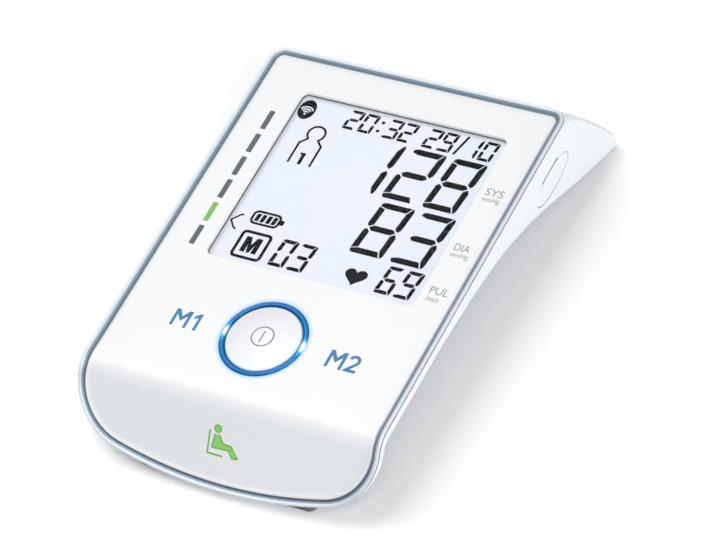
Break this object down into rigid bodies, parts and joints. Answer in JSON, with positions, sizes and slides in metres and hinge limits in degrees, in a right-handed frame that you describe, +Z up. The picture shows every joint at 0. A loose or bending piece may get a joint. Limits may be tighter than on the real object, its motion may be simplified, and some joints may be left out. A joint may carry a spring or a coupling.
{
  "type": "blood pressure monitor",
  "caption": "Upper-arm blood pressure monitor: white table unit with large display, lit round start button, bent front lip and raised rear foot.",
  "frame": {"origin": "centre of the footprint, on the surface that the rubber feet stand on", "axes": "+X to the user's right, +Y from the front lip towards the raised rear, +Z up"},
  "size_m": [0.119, 0.1912, 0.0419],
  "materials": {
    "white_abs": "glossy moulded white ABS",
    "silver_trim": "pale silver-blue lacquered plastic",
    "seal_rubber": "matt blue-grey elastomer",
    "clear_lens": "clear acrylic, polished",
    "lcd_glass": "pale blue-white backlit display glass",
    "diffuser_white": "white light diffuser",
    "ring_blue": "blue translucent light guide, lit",
    "indicator_green": "green translucent light guide",
    "holder_grey": "moulded grey plastic",
    "circuit_board": "green solder mask",
    "chip_black": "black moulded resin",
    "bright_steel": "bright plated steel",
    "brass_disc": "brass disc",
    "foot_rubber": "matt grey rubber",
    "silicone": "translucent white silicone",
    "battery_wrap": "silver-grey film"
  },
  "bodies": {
    "monitor": {"front_cover": "white_abs", "rim": "silver_trim", "groove_seal": "seal_rubber", "lower_housing": "white_abs", "display_lens": "clear_lens", "lcd_glass": "lcd_glass", "backlight_panel": "diffuser_white", "display_connector": "foot_rubber", "display_holder": "holder_grey", "button_light_ring": "ring_blue", "button_dome": "silicone", "touch_pad_m1": "foot_rubber", "touch_pad_m2": "foot_rubber", "main_board": "circuit_board", "processor": "chip_black", "buzzer": "brass_disc", "battery": "battery_wrap", "radio_module": "chip_black", "pump_motor": "bright_steel", "pump_head": "chip_black", "pump_mount_left": "foot_rubber", "pump_mount_right": "foot_rubber", "air_manifold": "holder_grey", "release_valve": "chip_black", "pressure_sensor": "chip_black", "air_tube_cuff": "silicone", "air_tube_pump": "silicone", "cuff_socket": "holder_grey", "charging_socket": "bright_steel", "charging_board": "circuit_board", "rest_indicator_guide": "indicator_green", "lip_board": "circuit_board", "screw_front_left": "bright_steel", "foot_front_left": "foot_rubber", "screw_front_right": "bright_steel", "foot_front_right": "foot_rubber", "screw_rear_left": "bright_steel", "foot_rear_left": "foot_rubber", "screw_rear_right": "bright_steel", "foot_rear_right": "foot_rubber"},
    "start_button": {"start_button": "white_abs"},
    "port_cover": {"port_cover": "white_abs"}
  },
  "joints": [
    {"name": "start_button_press", "type": "slide", "parent": "monitor", "child": "start_button", "axis": [0, 0.0818, -0.9967], "range_m": [0, 0.0008], "stiffness_N_per_m": 2500, "deforming": ["button_dome"]},
    {"name": "port_cover_hinge", "type": "hinge", "parent": "monitor", "child": "port_cover", "pos_m": [0.05919, 0.05154, 0.02229], "axis": [0, 0.9967, 0.0818], "range_deg": [0, 100]}
  ]
}
